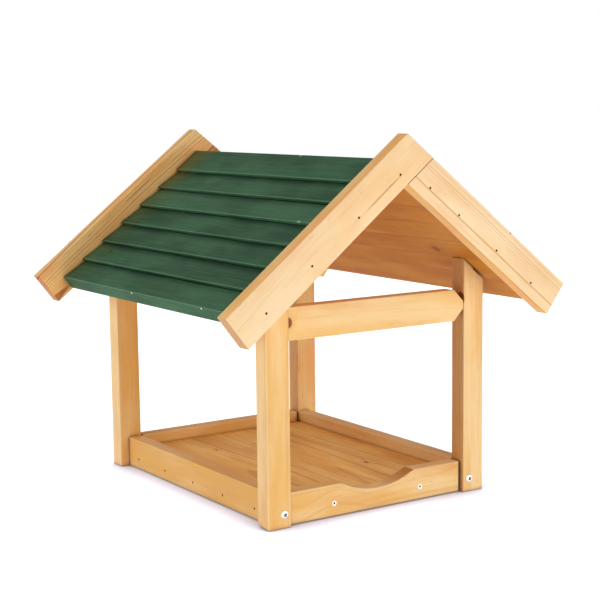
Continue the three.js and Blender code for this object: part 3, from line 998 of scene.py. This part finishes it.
for end_name, facing in ENDS.items():
    node = f"tray_{end_name}_board"
    screws = [f"{end_name}_floor_screw_{number}" for number in (1, 2)]
    holes = holes_over(screws, node, facing, SCREW_HOLE)
    corners = scalloped_corners(node) if end_name == "front" else box_corners(node)
    looks = END_LOOKS[end_name]
    board = timber(node, corners, X_AXIS, Z_AXIS, honey_pine, "pine", END_ARRIS, holes, **looks)
    for face, browned in zip(board.data.polygons, board.data.attributes["end"].data):
        if face.normal.z > THAT_WAY and face.normal.x < -CLIMBS:
            browned.value = max(browned.value, face.center.x / TORN_AT)
print("tray ends:", len(ENDS), "scallop", SCALLOP_WIDTH / MM, "by", SCALLOP_DEPTH / MM, "mm")

# %% [markdown]
# ## Screws
# A screw is a turned part: half its outline, from the middle of its head to its point, is spun round its
# axis. Then the cross for the driver is cut in, two tapered blades that meet in the middle. The post screws
# have domed pan heads that stand on the wood, and the floor screws have flat heads that lie in it. Both go
# where their CAD nodes are, which also give their lengths.

# %% Turning a screw
SCREW_SIDES = 32
MERGE = 0.01 * MM


def turned(outline):
    bm = bmesh.new()
    verts = [bm.verts.new((radius, 0, -depth)) for radius, depth in outline]
    edges = [bm.edges.new(pair) for pair in zip(verts, verts[1:])]
    bmesh.ops.spin(
        bm, geom=verts + edges, cent=(0, 0, 0), axis=Z_AXIS, angle=math.tau, steps=SCREW_SIDES, use_merge=True
    )
    bmesh.ops.remove_doubles(bm, verts=bm.verts, dist=MERGE)
    bmesh.ops.recalc_face_normals(bm, faces=bm.faces)
    return bm


# %% The driver's blade
BLADE_TOP = math.sqrt(0.5)  # to the corners of a square that is one wide
BLADE_TIP = 0.6


def blade(span, width, depth, angle):
    bm = bmesh.new()
    shape = Matrix.Rotation(angle, 4, "Z") @ Matrix.Diagonal((span, width, 1, 1))
    add_cone(bm, shape @ Matrix.Rotation(math.pi / 4, 4, "Z"), BLADE_TIP, BLADE_TOP, 2 * depth, 4)
    return bm


# %% Screws
# A point of a head's outline is its radius and its depth, in mm.
PAN_HEAD = ((0, 0.7), (2.2, 0.75), (3.5, 1.0), (4.35, 1.5), (4.72, 2.05), (4.8, 2.6), (2.25, 2.6))
FLAT_HEAD = ((0, 0.1), (2.2, 0.1), (2.85, 0), (3.0, 0.2), (1.5, 1.8))
TIP_LENGTH = 5 * MM
PAN_RECESS = (5.4 * MM, 1.9 * MM, 1.5 * MM)  # a blade's span, width and depth
FLAT_RECESS = (3.2 * MM, 1.5 * MM, 0.8 * MM)
RECESS_ANGLES = (25, 115)
STEEL_TURN = math.radians(35)


def screw(node, facing, head, recess):
    low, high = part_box(node)
    middle = (low + high) / 2
    top = face_at(node, "y", facing)
    length = high.y - low.y
    outline = [(radius * MM, depth * MM) for radius, depth in head]
    shank = outline[-1][0]
    bm = turned(outline + [(shank, length - TIP_LENGTH), (0, length)])
    stand = Matrix.Translation((middle.x, top, middle.z)) @ Matrix.Rotation(-facing * math.pi / 2, 4, "X")
    bmesh.ops.transform(bm, matrix=stand, verts=bm.verts)
    piece = as_object(bm, node + "_turned", zinc)
    for angle in RECESS_ANGLES:
        driver = blade(*recess, math.radians(angle))
        bmesh.ops.transform(driver, matrix=stand, verts=driver.verts)
        cut_away(piece, driver, recess_shade_steel)
    piece.data.shade_smooth()
    piece.data.set_sharp_from_angle(angle=STEEL_TURN)
    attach(piece, "root")
    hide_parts(node)
    return len(piece.data.polygons)


for end_name, facing in ENDS.items():
    for side in HANDS:
        faces = screw(f"{end_name}_{side}_post_screw", facing, PAN_HEAD, PAN_RECESS)
        print(end_name, side, "post screw:", faces, "faces")
    for number in (1, 2):
        faces = screw(f"{end_name}_floor_screw_{number}", facing, FLAT_HEAD, FLAT_RECESS)
        print(end_name, "floor screw", number, ":", faces, "faces")

# %% [markdown]
# ## The tray's floor
# Two wide boards, their grain running from front to back, lie side by side. Their arrises are hardly eased,
# so the seam between them is only a fine line. Each has one small knot.

# %% Floor boards
FLOOR_ARRIS = 0.5 * MM
FLOOR_PITHS = {1: (-20 * MM, -45 * MM), 2: (-50 * MM, -45 * MM)}
FLOOR_KNOTS = {
    1: {"middle": Vector((-56, 87, 24)) * MM, "radii": (3 * MM, 1.8 * MM, 4 * MM), "dark": 0.9},
    2: {"middle": Vector((60, -78, 24)) * MM, "radii": (5 * MM, 2.8 * MM, 9 * MM), "dark": 0.9},
}

for number, knot in FLOOR_KNOTS.items():
    node = f"floor_board_{number}"
    log = {"pith": FLOOR_PITHS[number], "tone": -0.5, "vivid": 0.55, "knot": knot}
    timber(node, box_corners(node), Y_AXIS, X_AXIS, floor_pine, "floor_pine", FLOOR_ARRIS, **log)
print("floor boards:", len(FLOOR_KNOTS))

# %% [markdown]
# ## Roof boards
# Seven shiplap boards a side: each has a lip that lies over the tongue of the board below. The profile of a
# board is drawn from its CAD sizes and extruded from gable to gable. The shoulder below each lip is set back
# by a millimetre more than in the CAD, so that the lap shows as the fine dark line of the photograph. The
# lip's arris is eased enough to catch the light. The arrises below stay sharp, and the joints there are
# driven up tight, as are the two top boards at the ridge, so that no light falls through. The top is stained
# green and the underside is left bare, so a board has two finishes, and each face takes the one that its
# direction calls for. A few boards have a mark of their own: a chip in the stain, or a knot underneath.

# %% Roof board profile
LAP_LENGTH = 11.5 * MM
LIP_THICKNESS = 9 * MM
LAP_GAP = 0.3 * MM
SHADOW_GAP = 1.0 * MM
JOINT_CLOSED = 0.27 * MM
RIDGE_CLOSED = 0.45 * MM
ROOF_COUNT = 7
ROOF_TOP = 22 * MM  # the drop of the top faces


def roof_profile(node, hand, number):
    tongue, butt, top, under = slope_box(node, hand)
    lip_under = top + LIP_THICKNESS
    if number == 1:
        head = [(lengths_at(node, hand, drop)[0] - RIDGE_CLOSED, drop) for drop in (under, top)]
    else:
        shoulder = tongue + LAP_LENGTH
        points = slope_points(node, hand)
        at_shoulder = [drop for length, drop in points if abs(length - shoulder) < TOUCH]
        shoulder_drop = max(drop for drop in at_shoulder if drop < lip_under)
        head = [
            (tongue - JOINT_CLOSED, under),
            (tongue - JOINT_CLOSED, lip_under + LAP_GAP),
            (shoulder + SHADOW_GAP, lip_under + LAP_GAP),
            (shoulder + SHADOW_GAP, shoulder_drop),
        ]
    if number == ROOF_COUNT:
        return head + [(butt, top), (butt, under)]
    lip = [(butt, top), (butt, lip_under), (butt - LAP_LENGTH, lip_under), (butt - LAP_LENGTH, under)]
    return head + lip


# %% Roof nails and marks
ROOF_HOLE = (NAIL_HOLE_RADIUS, NAIL_HOLE_RADIUS, 2.4 * MM)
ROOF_HOLE_ABOVE = 1.2 * MM  # from a nail's head up to the mouth of its hole
ROOF_MARKS = {  # at: length down the slope, drop (22 on top, 41 underneath) and Y. All in mm
    ("left", 1): {"at": (18.5, 22, -33), "radii": (3.5, 1.6, 3)},
    ("left", 3): {"at": (126.5, 22, -155), "radii": (4, 1.2, 3)},
    ("left", 7): {"at": (243, 22, 162), "radii": (5, 1.5, 3)},
    ("right", 5): {"at": (173.3, 41, -150), "radii": (7, 6, 9), "dark": 0.6},
    ("right", 3): {"at": (112, 41, 60), "radii": (9, 6, 9), "dark": 0.5},
    ("left", 4): {"at": (140, 41, -20), "radii": (9, 6, 9), "dark": 0.5},
}


def roof_nail_holes(hand, side, first, last):
    holes = []
    for end_name in ENDS:
        nail = f"{end_name}_{side}_roof_nail"
        start, end, head_drop, _ = slope_box(nail, hand)
        length = (start + end) / 2
        if first < length < last:
            low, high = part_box(nail)
            mouth = on_slope(hand, length, head_drop - ROOF_HOLE_ABOVE, (low.y + high.y) / 2)
            holes.append((mouth, into_slope(hand), *ROOF_HOLE))
    return holes


def mark_on_slope(hand, mark):
    if mark is None:
        return None
    length, drop, y = [number * MM for number in mark["at"]]
    radii = [number * MM for number in mark["radii"]]
    return {**mark, "middle": on_slope(hand, length, drop, y), "radii": radii}


# %% Roof boards
ROOF_ARRIS = 0.9 * MM

for side, hand in HANDS.items():
    for number in range(1, ROOF_COUNT + 1):
        node = f"roof_{side}_board_{number}"
        profile = roof_profile(node, hand, number)
        butt = max(length for length, _ in profile)
        head = profile[3][0] if number > 1 else 0  # where its top comes out from under the board above
        own = {
            "holes": roof_nail_holes(hand, side, head, butt),
            "left_sharp": lambda place, hand=hand: (place - APEX).dot(into_slope(hand)) > ROOF_TOP + MM,
            "knot": mark_on_slope(hand, ROOF_MARKS.get((side, number))),
            "tone": random.Random(node).uniform(-0.4, 0.4),
            "vivid": 0.12,
        }
        corners = slope_corners(hand, profile)
        piece = timber(node, corners, Y_AXIS, down_slope(hand), green_stain, "green_stain", ROOF_ARRIS, **own)
        mesh = piece.data
        mesh.materials.append(bare_pine)
        for face in mesh.polygons:
            face.material_index = 1 if face.normal.dot(into_slope(hand)) > THAT_WAY else 0
        lengths = [(vert.co - APEX).dot(down_slope(hand)) for vert in mesh.vertices]
        store(mesh, "lap", "FLOAT", "POINT", [(length - head) / (butt - head) for length in lengths])
print("roof boards:", 2 * ROOF_COUNT)

# %% [markdown]
# ## Pins in the eave
# Two bright pins were driven into the edge of the lowest left board, near its top arris. They have round
# steel heads, which stand a little proud of the wood and show as two points of light.

# %% Eave pins
PIN_RADIUS = 1.1 * MM
PIN_PLACES = (33 * MM, -131 * MM)  # along Y
PIN_DROP = ROOF_TOP + 2.2 * MM
PIN_PROUD = 0.3 * MM

eave = slope_box("roof_left_board_7", HANDS["left"])[1]
mouths = [on_slope(HANDS["left"], eave, PIN_DROP, y) for y in PIN_PLACES]
nail_heads("left_eave_pin_heads", mouths, -down_slope(HANDS["left"]), PIN_RADIUS, -PIN_PROUD, zinc)
print("eave pins:", len(mouths))

# %% [markdown]
# ## Barge boards
# A barge board closes each slope at its gable. The left one of a pair runs through at the apex and the right
# one butts under it. Their corners are read from the CAD nodes. The front right one was cut well away from
# the heart of its log, so its rings run as straight lines, and the front left one from close to the bark.

# %% Barge boards
BARGE_ARRIS = 0.7 * MM
BARGE_NAILS = 4
BARGE_HOLE = (NAIL_HOLE_RADIUS, NAIL_HOLE_RADIUS, 1.9 * MM)
BARGE_LOOKS = {
    "front_left": {"pith": (6 * MM, 70 * MM), "tone": -0.1, "vivid": 0.12},
    "front_right": {"pith": (90 * MM, 12 * MM), "tone": -0.6, "vivid": 0.9},
    "back_left": {"pith": (14 * MM, 22 * MM), "tone": 0.1, "vivid": 0.9},
    "back_right": {"tone": 0.2, "vivid": 0.6},
}
PITCH_STREAKS = {  # at: length down the slope, drop and Y. All in mm
    "front_left": {"at": (64, 29.5, -240), "radii": (32, 0.9, 9), "dark": 0.45},
    "front_right": {"at": (188, 0.5, -240), "radii": (1.6, 1.4, 3), "dark": 0.9},
    "back_left": {"at": (116, 7, 222), "radii": (30, 0.8, 9), "dark": 0.6},
}

for end_name, facing in ENDS.items():
    for side, hand in HANDS.items():
        pair = f"{end_name}_{side}"
        node = pair + "_barge_board"
        _, _, top, bottom = slope_box(node, hand)
        head, foot = lengths_at(node, hand, top)
        lower_head, lower_foot = lengths_at(node, hand, bottom)
        profile = ((head, top), (foot, top), (lower_foot, bottom), (lower_head, bottom))
        nails = [f"{pair}_barge_nail_{number}" for number in range(1, BARGE_NAILS + 1)]
        own = {
            "holes": holes_over(nails, node, facing, BARGE_HOLE),
            "knot": mark_on_slope(hand, PITCH_STREAKS.get(pair)),
            **BARGE_LOOKS[pair],
        }
        corners = slope_corners(hand, profile)
        along, across = down_slope(hand), into_slope(hand)
        finish = amber_pine if end_name == "back" else pale_pine
        piece = timber(node, corners, along, across, finish, "pale_pine", BARGE_ARRIS, **own)
        # the top and bottom edges take the darker amber: partly browner sawn wood, partly painted shade for
        # their light
        piece.data.materials.append(amber_pine)
        for face in piece.data.polygons:
            face.material_index = 1 if abs(face.normal.dot(into_slope(hand))) > THAT_WAY else 0
print("barge boards:", len(BARGE_LOOKS))
